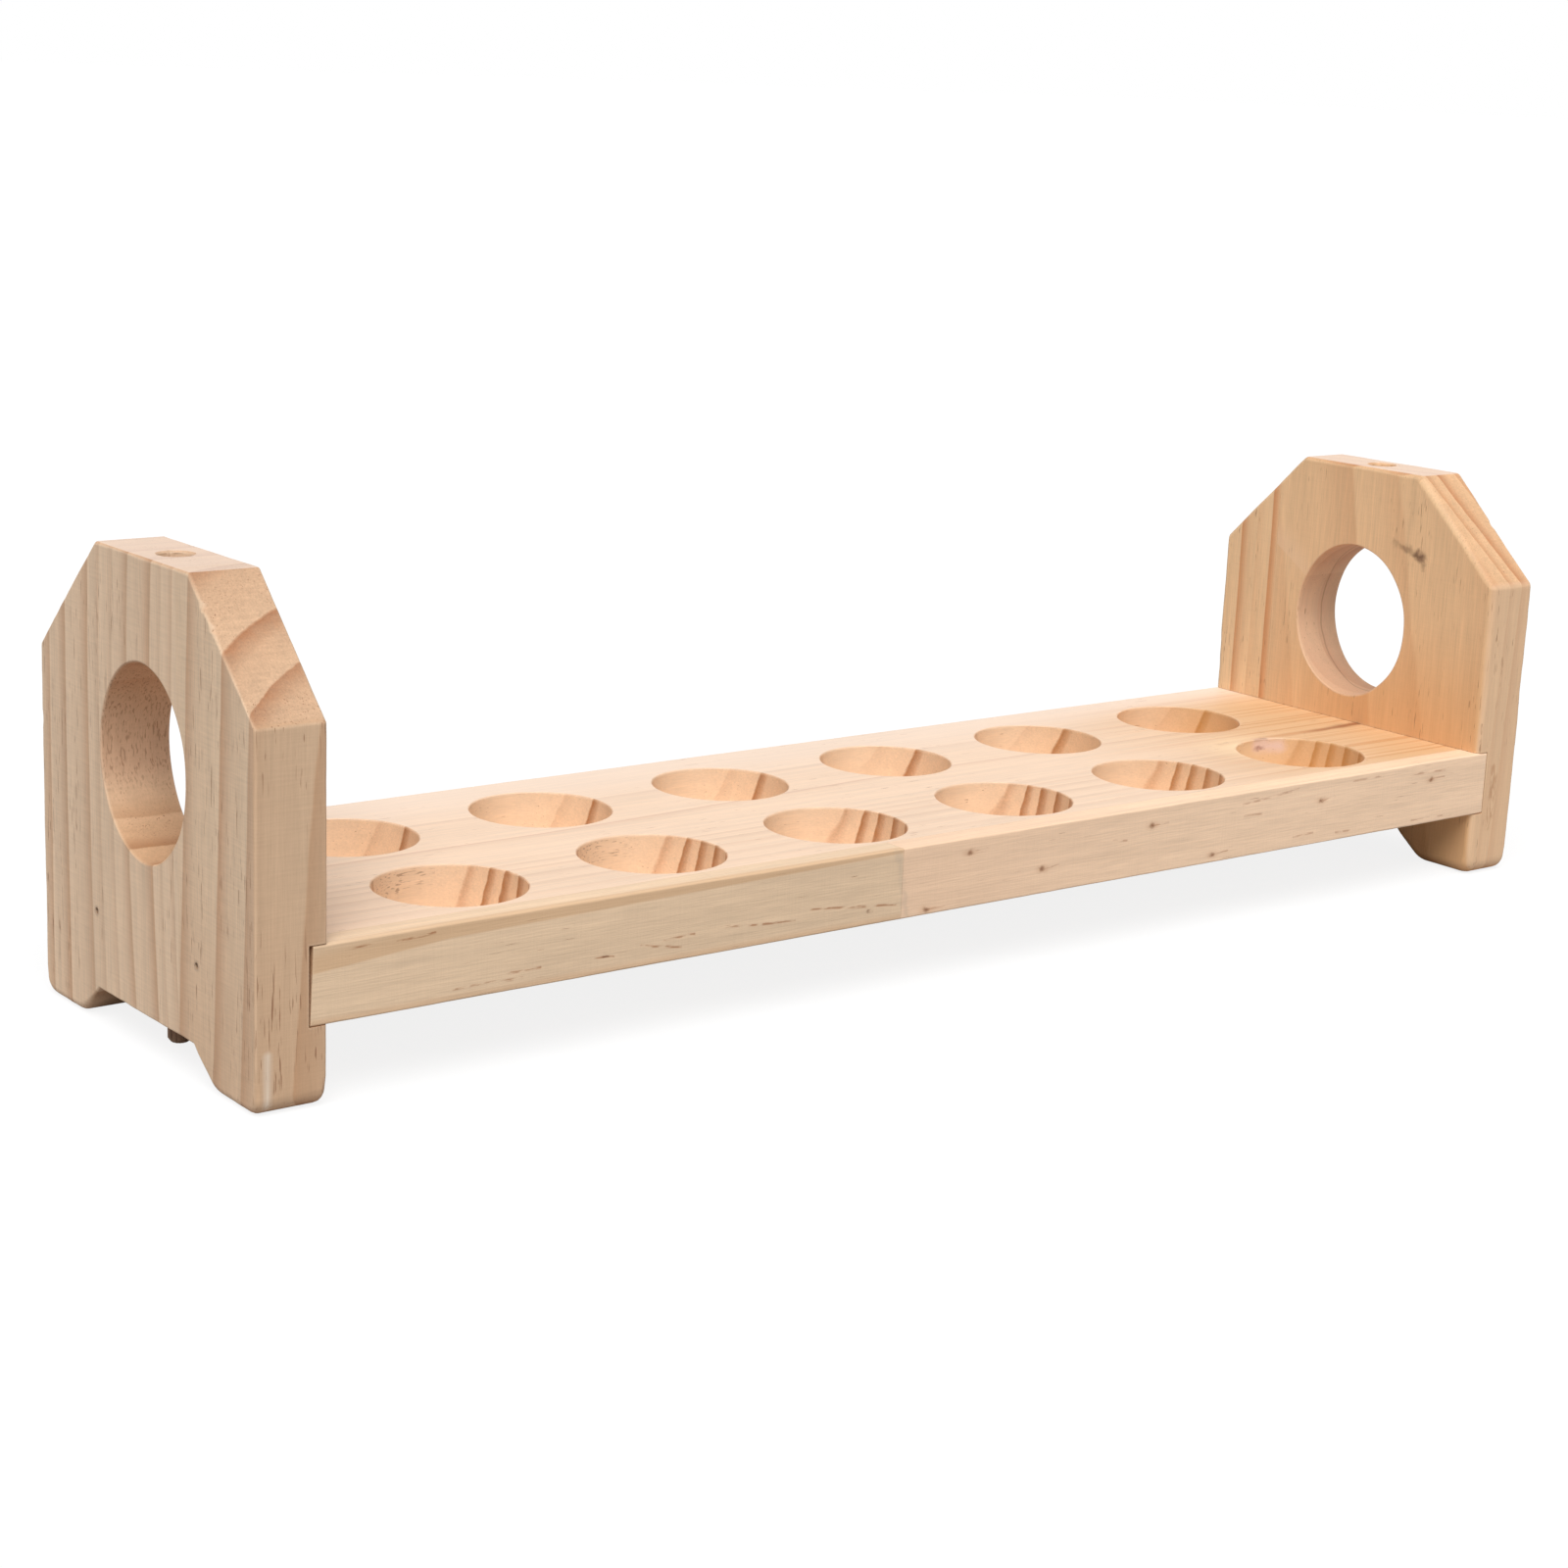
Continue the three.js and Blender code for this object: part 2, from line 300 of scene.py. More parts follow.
def end_ease(side, rounding):
    """How far an end board's edges are sanded round, in mm, at any place on its outline."""
    chips = edge_chips(side)
    foot_wear, foot_wear_top = 1.6, 0.8 * ARCH_HEIGHT
    front_wear = 0.9
    least, foot_top = 0.45, 4.0

    def ease_at(y, z, x):
        amount = 0.55 * rounding + drift((y, z, x), 17, 0.3 * rounding) + drift((y, z, x), 4, 0.18)
        amount += foot_wear * max(0.0, 1 - z / foot_wear_top)
        if abs(x) > MID_BOARD:
            for chip_y, chip_z, half_width, extra in chips:
                away = math.hypot(y - chip_y, z - chip_z) / half_width
                amount += extra * max(0.0, 1 - away * away)
        elif side > 0 and y < -TOP_FLAT / 2:
            amount += front_wear
        most = OUTER_FOOT_ROUNDING if z < foot_top else rounding + 0.4
        return min(max(amount, least), most)

    return ease_at


def hand_hole_cutter(centre_x):
    """Straight oval bore with both rims rounded by uneven sanding."""
    half = (HALF_LENGTH - INNER_FACE) / 2
    radius = HAND_HOLE_HEIGHT / 2
    ease, steps, step_out = 0.5, 4, 0.3
    top = []
    for k in range(steps + 1):
        angle = math.pi / 2 * k / steps
        top.append((radius + ease * (1 - math.cos(angle)), half - ease * (1 - math.sin(angle))))
    widest = radius + ease
    top += [(widest + step_out, half + step_out), (widest + 1, half + OVERRUN)]
    bottom = [(r, -height) for r, height in reversed(top)]

    def uneven(r, height, angle):
        share = abs(height) / half
        at_rim = drift((math.cos(angle) * 3, math.sin(angle) * 3, height / 9), 1.3, 0.2)
        at_wall = drift((math.cos(angle), math.sin(angle), 0), 0.9, 0.08)
        return r + at_rim * share ** 6 + at_wall, height

    mesh = turned(bottom + top, 144, uneven)
    squeeze = Matrix.Diagonal((1, HAND_HOLE_WIDTH / HAND_HOLE_HEIGHT, 1, 1))
    return moved(mesh, Matrix.Translation((centre_x, 0, HAND_HOLE_Z)) @ squeeze @ Z_TO_X)


def drilled_hole(radius, depth, mouth, seed):
    """Cutter for a blind hole with a ragged mouth at height 0, going down, and a conical floor."""
    def ragged(r, h, angle):
        if h < -mouth * 1.5:
            return r, h
        tear = drift((math.cos(angle) * 4, math.sin(angle) * 4, seed), 1, mouth * 0.8)
        return r + max(tear, -mouth * 0.6), h

    floor = [(radius * 0.05, -depth - radius * 0.12), (radius * 0.98, -depth), (radius, -depth + 0.1)]
    wall = [(radius, -mouth * 2), (radius, -mouth), (radius + mouth * 0.4, -mouth * 0.4)]
    above = [(radius + mouth, 0), (radius + mouth, OVERRUN)]
    return turned(floor + wall + above, 48, ragged)


def brad_hole_cutters(side):
    """Cutters for one end's two brad holes, from outside the board into the shelf."""
    cutters = []
    for low, high in brad_boxes(side):
        middle = (low + high) / 2
        outer = side * (HALF_LENGTH + 1)
        inner = side * (HALF_LENGTH - BRAD_SUNK - BRAD_HOLE_LENGTH)
        x0, x1 = sorted((outer, inner))
        bore = turned([(BRAD_HOLE_RADIUS, x0), (BRAD_HOLE_RADIUS, x1)], 16)
        cutters.append(moved(bore, Matrix.Translation((0, middle.y, middle.z)) @ Z_TO_X))
    return cutters


def brad_boxes(side):
    label = "left" if side < 0 else "right"
    return [box_mm(f"brad_{label}_{row}") for row in ("front", "rear")]


def end_board(side):
    """One whole end board, before it is parted at its glue line."""
    centre = side * MID_BOARD
    rounding = LEFT_ROUNDING if side < 0 else RIGHT_ROUNDING
    outline = walk_outline(end_corners(rounding), OUTLINE_STEP)
    blank = eased_board(outline, side * HALF_LENGTH, side * INNER_FACE, end_ease(side, rounding))
    housing_floor = side * (INNER_FACE + HOUSING_DEPTH)
    x0, x1 = sorted((housing_floor, 0.0))
    housing = block(
        (x0, FRONT - OVERRUN, SHELF_LOW.z - HOUSING_PLAY),
        (x1, BACK + OVERRUN, SHELF_HIGH.z + HOUSING_PLAY),
    )
    peg_hole = drilled_hole(PEG_HOLE_RADIUS, PEG_HOLE_DEPTH, 0.45, seed=side)
    moved(peg_hole, Matrix.Translation((centre, 0, HEIGHT)))
    socket_radius = PEG_RADIUS + PEG_PLAY
    socket = turned([(socket_radius, -OVERRUN), (socket_radius, PEG_HIGH.z + PEG_PLAY)], 32)
    moved(socket, Matrix.Translation((centre, 0, 0)))
    cutters = [hand_hole_cutter(centre), housing, peg_hole, socket, *brad_hole_cutters(side)]
    return cut(blank, cutters)


def parted(mesh, glue_line):
    """The pieces of a board in front of and behind its glue line."""
    front = part_inside(mesh, (-FAR, -FAR, -FAR), (FAR, glue_line - GLUE_SEAM, FAR))
    rear = part_inside(mesh, (-FAR, glue_line + GLUE_SEAM, -FAR), (FAR, FAR, FAR))
    return front, rear


# ---- Shelf ----

def shelf_blank():
    """The whole shelf: a rounded bar along X whose four edges are sanded unevenly."""
    section = [(FRONT, SHELF_LOW.z), (BACK, SHELF_LOW.z), (BACK, SHELF_HIGH.z), (FRONT, SHELF_HIGH.z)]
    stations = round((SHELF_HIGH.x - SHELF_LOW.x) / STATION_STEP)
    rings = []
    for i in range(stations + 1):
        x = SHELF_LOW.x + (SHELF_HIGH.x - SHELF_LOW.x) * i / stations
        corners = []
        for y, z in section:
            rounding = SHELF_ROUNDING + drift((x, y, z), 23, 0.2) + drift((x, y, z), 4, 0.1)
            corners.append((y, z, rounding))
        no_points_between = SHELF_HIGH.x
        walk = walk_outline(corners, no_points_between)
        rings.append([(x, *point) for point, _ in walk])
    rings[0] = [(x + end_gap(z), y, z) for x, y, z in rings[0]]
    return stacked_rings(rings)


def end_gap(z):
    """How far the shelf's left end, sawn out of square, stands back in its housing."""
    return 0.05 + 0.75 * (z - SHELF_LOW.z) / (SHELF_HIGH.z - SHELF_LOW.z)


def pocket_cutter(centre, seed):
    """Cutter for one bottle pocket: faint tool rings on its floor and fibres torn from its rim."""
    ease, ring_step, ring_height = 0.28, 1.6, 0.05
    deepest_tear = 1.5 if seed == 0 else 0.5
    floor = [(1.2 + ring_step * k, -POCKET_DEPTH + ring_height * (k % 2)) for k in range(11)]
    wall = [(-0.25, 0.02 - POCKET_DEPTH), (0, 0.3 - POCKET_DEPTH), (0, -POCKET_DEPTH / 2)]
    mouth = [(0, -2.4 * ease), (0, -ease), (0.3 * ease, -0.5 * ease), (ease, 0), (ease, OVERRUN)]
    side = [(POCKET_RADIUS + out, height) for out, height in wall + mouth]

    def torn(radius, height, angle):
        if height < -2 * ease:
            return radius, height
        place = (math.cos(angle) * 5, math.sin(angle) * 5, seed)
        sanding = drift(place, 4, 0.16)
        across_grain = max(0.0, math.cos(angle)) ** 4
        tear = max(0.0, noise.noise(Vector(place) * 2.6) - 0.2) * deepest_tear * across_grain
        return radius + max(sanding + tear, -0.6 * ease), height

    mesh = turned(floor + side, 168, torn)
    return moved(mesh, Matrix.Translation((centre.x, centre.y, SHELF_HIGH.z)))


def shelf_parts():
    """The main board and the two halves of the strip glued along its front edge."""
    cutters = [pocket_cutter(centre, seed) for seed, centre in enumerate(POCKETS)]
    whole = cut(shelf_blank(), cutters + brad_hole_cutters(-1) + brad_hole_cutters(1))
    strip, board = parted(whole, STRIP_LINE)
    left = part_inside(strip, (-FAR, -FAR, -FAR), (STRIP_BUTT - GLUE_SEAM, FAR, FAR))
    right = part_inside(strip, (STRIP_BUTT + GLUE_SEAM, -FAR, -FAR), (FAR, FAR, FAR))
    return board, left, right


# ---- Pegs and brads ----

def peg_mesh(side):
    """A rough dowel with a bevelled tip and split fibres along its sides."""
    tip, top = PEG_LOW.z, PEG_HIGH.z
    bevel, steps = 0.75, 20
    profile = [
        (PEG_RADIUS - bevel - 0.9, tip),
        (PEG_RADIUS - bevel, tip + 0.04),
        (PEG_RADIUS, tip + bevel + 0.25),
    ]
    profile += [(PEG_RADIUS, tip + 1.4 + (top - tip - 1.6) * k / steps) for k in range(steps + 1)]
    profile.append((PEG_RADIUS - 0.15, top))

    def rough(radius, height, angle):
        around = (math.cos(angle) * 5, math.sin(angle) * 5, height / 9 + side * 7)
        fibre = drift(around, 1.0, 0.13) - 0.1
        worn = 0.12 * max(0.0, 1 - (height - tip) / 3) * noise.noise(Vector(around) * 1.7)
        return radius + fibre - abs(worn), height

    return moved(turned(profile, 56, rough), Matrix.Translation((side * MID_BOARD, 0, 0)))


def brad_mesh(side, low, high):
    """A thin wire brad: ringed grip marks near its set head, a chisel point inside the shelf."""
    radius, length = (high.z - low.z) / 2, high.x - low.x
    grip_from, grip_step, grip_depth = -6.0, 0.5, 0.07
    point = [(radius * 0.12, -length), (radius * 0.5, -length + 0.9), (radius * 0.96, -length + 1.9)]
    grip = [(radius * (1 - grip_depth * (k % 2)), grip_from + grip_step * k) for k in range(9)]
    head = [(radius, -0.12), (radius * 0.86, -0.04), (radius * 0.3, 0)]
    turn = Matrix.Rotation(side * math.pi / 2, 4, "Y")
    outer, middle = high.x if side > 0 else low.x, (low + high) / 2
    seat = Matrix.Translation((outer, middle.y, middle.z))
    return moved(turned(point + grip + head, 24), seat @ turn)


# ---- Patterns ----

def srgb(tint):
    """A linear colour from display values of 0 to 255, none of them nearly black."""
    linear = [((level / 255 + 0.055) / 1.055) ** 2.4 for level in tint]
    return (*linear, 1.0)


class Nodes:
    """A node tree. Its methods add nodes and give back what they put out."""

    def __init__(self, tree):
        self.tree = tree

    def node(self, kind):
        return self.tree.nodes.new("ShaderNode" + kind)

    def feed(self, socket, value):
        if isinstance(value, bpy.types.NodeSocket):
            self.tree.links.new(value, socket)
        else:
            socket.default_value = value

    def add(self, kind, inputs, output=0, **settings):
        node = self.node(kind)
        for name, value in settings.items():
            setattr(node, name, value)
        for key, value in inputs.items():
            self.feed(node.inputs[key], value)
        return node.outputs[output]

    def math(self, operation, *values):
        return self.add("Math", dict(enumerate(values)), operation=operation)

    def times(self, first, *others):
        for value in others:
            first = self.math("MULTIPLY", first, value)
        return first

    def plus(self, a, b):
        return self.math("ADD", a, b)

    def minus(self, a, b):
        return self.math("SUBTRACT", a, b)


class Pattern(Nodes):
    """One material, with the place on the rack in mm to draw its pattern from."""

    def __init__(self, name):
        self.material = bpy.data.materials.new(name)
        self.material.use_nodes = True
        super().__init__(self.material.node_tree)
        source = self.node("TexCoord")
        self.place = self.vector("SCALE", source.outputs["Object"], Scale=1 / MM)
        self.facing = source.outputs["Normal"]
        self.x, self.y, self.z = self.split(self.place)
        self.along = self.plus(self.x, HALF_LENGTH)
        self.back = self.minus(self.y, FRONT)

    def show(self, **inputs):
        """Joins values to the surface; an input's spaces are written as underlines."""
        surface = self.tree.nodes["Principled BSDF"]
        for name, value in inputs.items():
            self.feed(surface.inputs[name.replace("_", " ")], value)

    def vector(self, operation, *values, **named):
        return self.add("VectorMath", {**dict(enumerate(values)), **named}, operation=operation)

    def measure(self, operation, *values):
        """A vector sum whose answer is one number, such as LENGTH or DOT_PRODUCT."""
        return self.add("VectorMath", dict(enumerate(values)), output=1, operation=operation)

    def split(self, vector):
        node = self.node("SeparateXYZ")
        self.feed(node.inputs[0], vector)
        return node.outputs[0], node.outputs[1], node.outputs[2]

    def in_units_of(self, size):
        """The place divided by a size in mm, which is one number or one for each axis."""
        sizes = size if isinstance(size, tuple) else (size,) * 3
        return self.vector("DIVIDE", self.place, sizes)

    def noise(self, size, detail=2.0, roughness=0.5):
        """Noise from 0 to 1 whose features are about size mm."""
        inputs = {"Vector": self.in_units_of(size), "Scale": 1.0, "Detail": detail, "Roughness": roughness}
        return self.add("TexNoise", inputs)

    def fade(self, value, start, end):
        """0 at start, 1 at end, and smooth between them."""
        inputs = {"Value": value, "From Min": start, "From Max": end}
        return self.add("MapRange", inputs, interpolation_type="SMOOTHSTEP")

    def mix(self, factor, a, b, blend="MIX"):
        node = self.node("Mix")
        node.data_type, node.blend_type = "RGBA", blend
        for socket, value in ((0, factor), (6, a), (7, b)):
            self.feed(node.inputs[socket], value)
        return node.outputs[2]

    def shades(self, value, low, high, stops):
        """Straight lines through (value, level) stops, for values from low to high."""
        node = self.node("ValToRGB")
        self.feed(node.inputs[0], self.math("DIVIDE", self.minus(value, low), high - low))
        ramp = node.color_ramp
        while len(ramp.elements) < len(stops):
            ramp.elements.new(0.5)
        for element, (place, level) in zip(ramp.elements, stops):
            element.position = (place - low) / (high - low)
            element.color = (level, level, level, 1)
        return node.outputs[0]

    def warped(self, size, amount):
        """The place pushed about by noise, so that marks made with it come out uneven."""
        inputs = {"Vector": self.in_units_of(size), "Scale": 1.0, "Detail": 2.0}
        push = self.add("TexNoise", inputs, output="Color")
        push = self.vector("SCALE", self.vector("SUBTRACT", push, (0.5, 0.5, 0.5)), Scale=2 * amount)
        return self.vector("ADD", self.place, push)

    def near_point(self, centre, reach, place=None):
        """1 at a point, fading to 0 at reach mm away; reach is one number for each axis."""
        offset = self.vector("DIVIDE", self.vector("SUBTRACT", place or self.place, centre), reach)
        return self.fade(self.measure("LENGTH", offset), 1.0, 0.0)

    def near_line(self, start, end, reach, place=None):
        """1 along a straight line between two points, fading to 0 at reach mm from it."""
        start, run = Vector(start), Vector(end) - Vector(start)
        offset = self.vector("SUBTRACT", place or self.place, start)
        share = self.measure("DOT_PRODUCT", offset, run / run.length_squared)
        share = self.add("Clamp", {0: share})
        nearest = self.vector("SCALE", run, Scale=share)
        return self.fade(self.measure("LENGTH", self.vector("SUBTRACT", offset, nearest)), reach, 0.0)


class Pine(Pattern):
    """Bare sanded pine whose fibres run along one axis: 0 is X and 2 is Z.

    show_rings starts its colour, paint changes it and finish joins it to the surface. Its early
    and late wood, flecks and tints are given as display values of 0 to 255.
    """

    def __init__(self, name, grain, early, late, fleck, sanding=0.08):
        super().__init__(name)
        self.grain, self.sanding = grain, sanding
        self.early, self.late, self.fleck = srgb(early), srgb(late), srgb(fleck)
        slope = self.split(self.facing)[grain]
        self.end = self.fade(self.math("ABSOLUTE", slope), 0.2, 0.9)
        self.up = self.fade(self.split(self.facing)[2], 0.9, 0.99)
        self.fibres = self.streaky(0.42, 13, detail=3, roughness=0.6)
        self.streaks = self.streaky(2.4, 80, detail=3)
        self.clouds = self.streaky(16, 60)
        self.scratches = self.streaky(9, 0.55)
        self.pores = self.noise(0.6, detail=2, roughness=0.7)

    def stretch(self, across, along):
        sizes = [across] * 3
        sizes[self.grain] = along
        return tuple(sizes)

    def streaky(self, across, along, detail=2, roughness=0.5):
        """Noise drawn out along the fibres."""
        return self.noise(self.stretch(across, along), detail, roughness)

    def wander(self, across):
        """Ring positions that waver a little, as they do in a real board."""
        slow = self.minus(self.streaky(22, 110, detail=1), 0.5)
        quick = self.minus(self.streaky(3, 34), 0.5)
        across = self.plus(across, self.times(slow, 1.6))
        return self.plus(across, self.times(quick, 0.7))

    def late_wood(self, across, rings, growth, bulk=0.35, widest=4.5):
        """0 in early wood, rising to a ring's strength where its late wood stops dead.

        rings are [place, strength] of those stops; growth is 1 where the tree grew towards larger
        places and -1 where it grew the other way. bulk is the late wood's share of a ring, up to
        widest mm.
        """
        if growth < 0:
            across = self.times(across, -1)
            rings = [(-place, strength) for place, strength in reversed(rings)]
        sharp = 0.14
        before = rings[0][0] - (rings[1][0] - rings[0][0])
        stops = []
        for place, strength in rings:
            width = min(bulk * (place - before), widest)
            stops += [(before + sharp, 0), (place - width, 0.2 * strength), (place - sharp, strength)]
            before = place
        stops.append((before + sharp, 0))
        return self.shades(across, stops[0][0], stops[-1][0], stops)

    def show_rings(self, late, on_face, on_end, soaked=(0.83, 0.735, 0.665, 1)):
        """Early and late wood mixed, with fibres, streaks and scratches; end grain is soaked darker."""
        contrast = self.plus(on_face, self.times(self.end, on_end - on_face))
        uneven = self.plus(0.65, self.times(self.streaks, 0.7))
        amount = self.times(late, contrast, uneven)
        colour = self.mix(amount, self.early, self.late)
        darker = self.mix(0.2, colour, self.late)
        colour = self.mix(self.times(self.end, 0.8), colour, darker)
        colour = self.mix(self.end, colour, soaked, blend="MULTIPLY")
        layers = [
            (self.fibres, 0.42),
            (self.streaks, 0.3),
            (self.clouds, 0.14),
            (self.scratches, self.sanding),
            (self.pores, self.times(self.end, 0.45)),
        ]
        self.shade(colour, layers)

    def shade(self, colour, layers):
        """Sets the colour to another, made lighter and darker by each [noise, amount] layer."""
        level = 1.0
        for value, amount in layers:
            level = self.plus(level, self.times(self.minus(value, 0.5), amount))
        self.colour = self.vector("SCALE", colour, Scale=level)

    def on_top(self):
        """1 on an end board's top edge."""
        return self.times(self.up, self.fade(self.z, HEIGHT - 2, HEIGHT - 1))

    def paint(self, where, amount, tint):
        """Takes the colour part of the way to a tint wherever a mask is 1."""
        self.colour = self.mix(self.times(where, amount), self.colour, srgb(tint))

    def flecks(self, width, length, share):
        """Short dark resin canals along the fibres, over about this share of the noise's range."""
        grains = self.streaky(width, length, detail=1)
        grouped = self.fade(self.streaky(11, 40, detail=1), 0.42, 0.62)
        return self.times(self.fade(grains, 1 - share, 1.07 - share), grouped)

    def finish(self, late, flecks, roughness=0.55):
        """Joins the colour to the surface with worn edges, roughness and a fine relief."""
        rounded = self.add("Bevel", {"Radius": 1.1 * MM}, samples=4)
        bend = self.measure("DOT_PRODUCT", rounded, self.node("NewGeometry").outputs["Normal"])
        edge = self.fade(bend, 0.995, 0.93)
        colour = self.mix(self.times(flecks, 0.75), self.colour, self.fleck)
        worn = self.mix(0.5, colour, self.early)
        colour = self.mix(self.times(edge, self.plus(0.25, self.clouds)), colour, worn)
        relief = self.plus(self.times(late, 0.04), self.times(self.fibres, 0.07))
        relief = self.plus(relief, self.times(self.scratches, 0.02))
        relief = self.minus(relief, self.times(flecks, 0.05))
        bump = self.add("Bump", {"Height": relief, "Distance": MM, "Strength": 0.8})
        rough = self.plus(roughness, self.times(self.minus(self.fibres, 0.5), 0.3))
        rough = self.plus(rough, self.times(self.end, 0.12))
        self.show(Base_Color=colour, Roughness=rough, Normal=bump, Specular_IOR_Level=0.45)
        return self.material


# ---- Each board's own wood ----
# Marks are placed by x from the rack's left end, y from its front edge and z from the ground.
# Tints are display values of 0 to 255.

# Pale tint for a painted sheen on level tops, where light glances off them at a low angle
PAINTED_SHEEN = (242, 222, 206)
RESIN = (124, 76, 46)
DASH = (162, 96, 50)
MIDDLE_RING = 57.2              # the ring whose line runs between the two rows of pockets


def at(x, y, z):
    """A point of the frame from distances to the rack's left end, front edge and the ground."""
    return Vector((x - HALF_LENGTH, y + FRONT, z))


def dashes(wood, ends, reach):
    """1 on several short broken lines, each given by its two end points."""
    bent = wood.warped(wood.stretch(2.5, 12), 0.5)
    dark = 0.0
    for start, end in ends:
        dark = wood.math("MAXIMUM", dark, wood.near_line(at(*start), at(*end), reach, bent))
    broken = wood.fade(wood.streaky(0.6, 3.2), 0.38, 0.6)
    return wood.times(dark, broken)


def left_front_pine():
    """Rings curve round a pith that lies outside the stave, in front of it and to its right."""
    early, late_tint, fleck = (232, 202, 170), (180, 128, 90), (146, 98, 68)
    wood = Pine("left_front_pine", 2, early, late_tint, fleck, sanding=0.24)
    pith_along, pith_ahead, pith_lean = 43.0, 54.0, 0.055
    lean = wood.times(wood.minus(HEIGHT, wood.z), pith_lean)
    dx = wood.minus(wood.along, pith_along)
    dy = wood.minus(wood.plus(wood.back, pith_ahead), lean)
    radius = wood.math("SQRT", wood.plus(wood.times(dx, dx), wood.times(dy, dy)))
    rings = [(47, 0.8), (58.5, 0.9), (69.8, 0.9), (80.7, 1.0), (95.3, 0.9), (108, 0.8)]
    late = wood.late_wood(wood.wander(radius), rings, growth=1, bulk=0.42)
    wood.show_rings(late, on_face=0.62, on_end=1.0)
    hole_wall(wood, late)
    # Painted sheen on the top edge
    wood.paint(wood.on_top(), 0.55, PAINTED_SHEEN)
    wood.paint(wood.fade(wood.z, 60, 5), 0.22, (190, 140, 100))
    # Painted shade: the front edge face darker
    front_face = wood.fade(wood.back, 1.2, 0.4)
    wood.paint(front_face, 0.42, (196, 155, 118))
    # Painted shadow round the brad holes
    painted_brad_shadows(wood, -1)
    scuff = wood.near_line(at(3, 0, 0), at(3, 0, 14), 1.8)
    wood.paint(wood.times(scuff, wood.fibres), 1.0, (246, 232, 214))
    return wood.finish(late, wood.flecks(0.4, 7, 0.35))


def painted_brad_shadows(wood, side):
    """Painted shadow: darker colour round the mouths of one end board's brad holes."""
    for low, high in brad_boxes(side):
        mouth = (low + high) / 2
        mouth.x = side * HALF_LENGTH
        wood.paint(wood.near_point(mouth, (3, 1.7, 1.7)), 0.9, (84, 56, 38))


def in_hand_hole(wood):
    """1 on a hand hole's wall, whichever end board it is in."""
    half_height = HAND_HOLE_HEIGHT / 2 + 0.3
    half_width = half_height * HAND_HOLE_WIDTH / HAND_HOLE_HEIGHT
    no_limit = 1e6
    offset = wood.vector("SUBTRACT", wood.place, (0, 0, HAND_HOLE_Z))
    offset = wood.vector("DIVIDE", offset, (no_limit, half_width, half_height))
    return wood.fade(wood.measure("LENGTH", offset), 1.02, 1.0)


def hole_wall(wood, late):
    """The left hand hole's wall: browner and finely pitted above, banded by its rings below."""
    inside = in_hand_hole(wood)
    above = wood.fade(wood.z, HAND_HOLE_Z - 15, HAND_HOLE_Z - 5)
    upper = wood.times(inside, above)
    lower = wood.times(inside, wood.minus(1, above))
    wood.paint(upper, 0.5, (184, 134, 98))
    wood.paint(lower, 0.3, (212, 168, 122))
    wood.paint(wood.times(lower, late), 0.5, (150, 100, 62))
    pits = wood.fade(wood.streaky(0.5, 2.4), 0.54, 0.66)
    wood.paint(wood.times(upper, pits), 0.45, (124, 82, 56))


def left_main_pine():
    """Rings stand nearly square to the face and bow along its height."""
    early, late_tint, fleck = (233, 203, 172), (184, 135, 97), (146, 98, 68)
    wood = Pine("left_main_pine", 2, early, late_tint, fleck, sanding=0.2)
    down = wood.math("DIVIDE", wood.minus(HEIGHT, wood.z), HEIGHT)
    bow = wood.times(down, wood.minus(9.0, wood.times(down, 12.0)))
    near_front = wood.fade(wood.back, 110.0, 50.0)
    across = wood.minus(wood.back, wood.times(bow, near_front))
    rings = [(38.4, 0.5), (44.3, 0.35), (49.3, 1.0), (61.2, 0.9), (69.3, 0.4)]
    rings += [(76.4, 0.45), (82.5, 0.9), (95.5, 1.0), (105, 0.8)]
    late = wood.late_wood(wood.wander(across), rings, growth=-1, bulk=0.45)
    wood.show_rings(late, on_face=0.66, on_end=0.9)
    hole_wall(wood, late)
    # Painted shadow round the brad holes
    painted_brad_shadows(wood, -1)
    # Painted sheen on the top edge
    wood.paint(wood.on_top(), 0.6, PAINTED_SHEEN)
    return wood.finish(late, wood.flecks(0.4, 7, 0.35))


def right_main_pine():
    """A flat-sawn board: its rings lie nearly level with its faces."""
    wood = Pine("right_main_pine", 2, (238, 199, 155), (192, 128, 82), (138, 92, 60))
    local = wood.minus(wood.along, HALF_LENGTH + INNER_FACE)
    across = wood.plus(local, wood.times(wood.back, 0.25))
    across = wood.minus(across, wood.times(wood.z, 0.05))
    rings = [(-4, 0.6), (3.9, 0.7), (9, 1.0), (17, 0.6), (25.3, 0.9), (34, 0.8)]
    late = wood.late_wood(wood.wander(across), rings, growth=-1, bulk=0.45)
    wood.show_rings(late, on_face=0.32, on_end=0.9, soaked=(0.93, 0.88, 0.86, 1))
    # Painted sheen on the top edge
    wood.paint(wood.on_top(), 0.65, PAINTED_SHEEN)
    front_face = wood.fade(wood.back, 1.5, 0.3)
    not_front = wood.minus(1, front_face)
    # Painted bounce light: warmer orange on the lower part of the board, away from its front face and back
    # edge
    low = wood.times(wood.fade(wood.z, 80, 42), not_front, wood.fade(wood.back, 92, 52))
    wood.paint(low, 0.44, (226, 160, 96))
    wood.paint(front_face, 0.3, (226, 186, 158))
    bore = in_hand_hole(wood)
    wood.paint(bore, 0.45, (214, 178, 156))
    past_step = wood.minus(wood.split(wood.warped(14, 1.2))[0], INNER_FACE + BORE_STEP)
    step = wood.fade(wood.math("ABSOLUTE", past_step), 0.5, 0.1)
    wood.paint(wood.times(bore, step), 0.45, (156, 112, 84))
    right_face_marks(wood)
    # Painted shadow round the brad holes
    painted_brad_shadows(wood, 1)
    return wood.finish(late, wood.flecks(0.4, 6, 0.31))


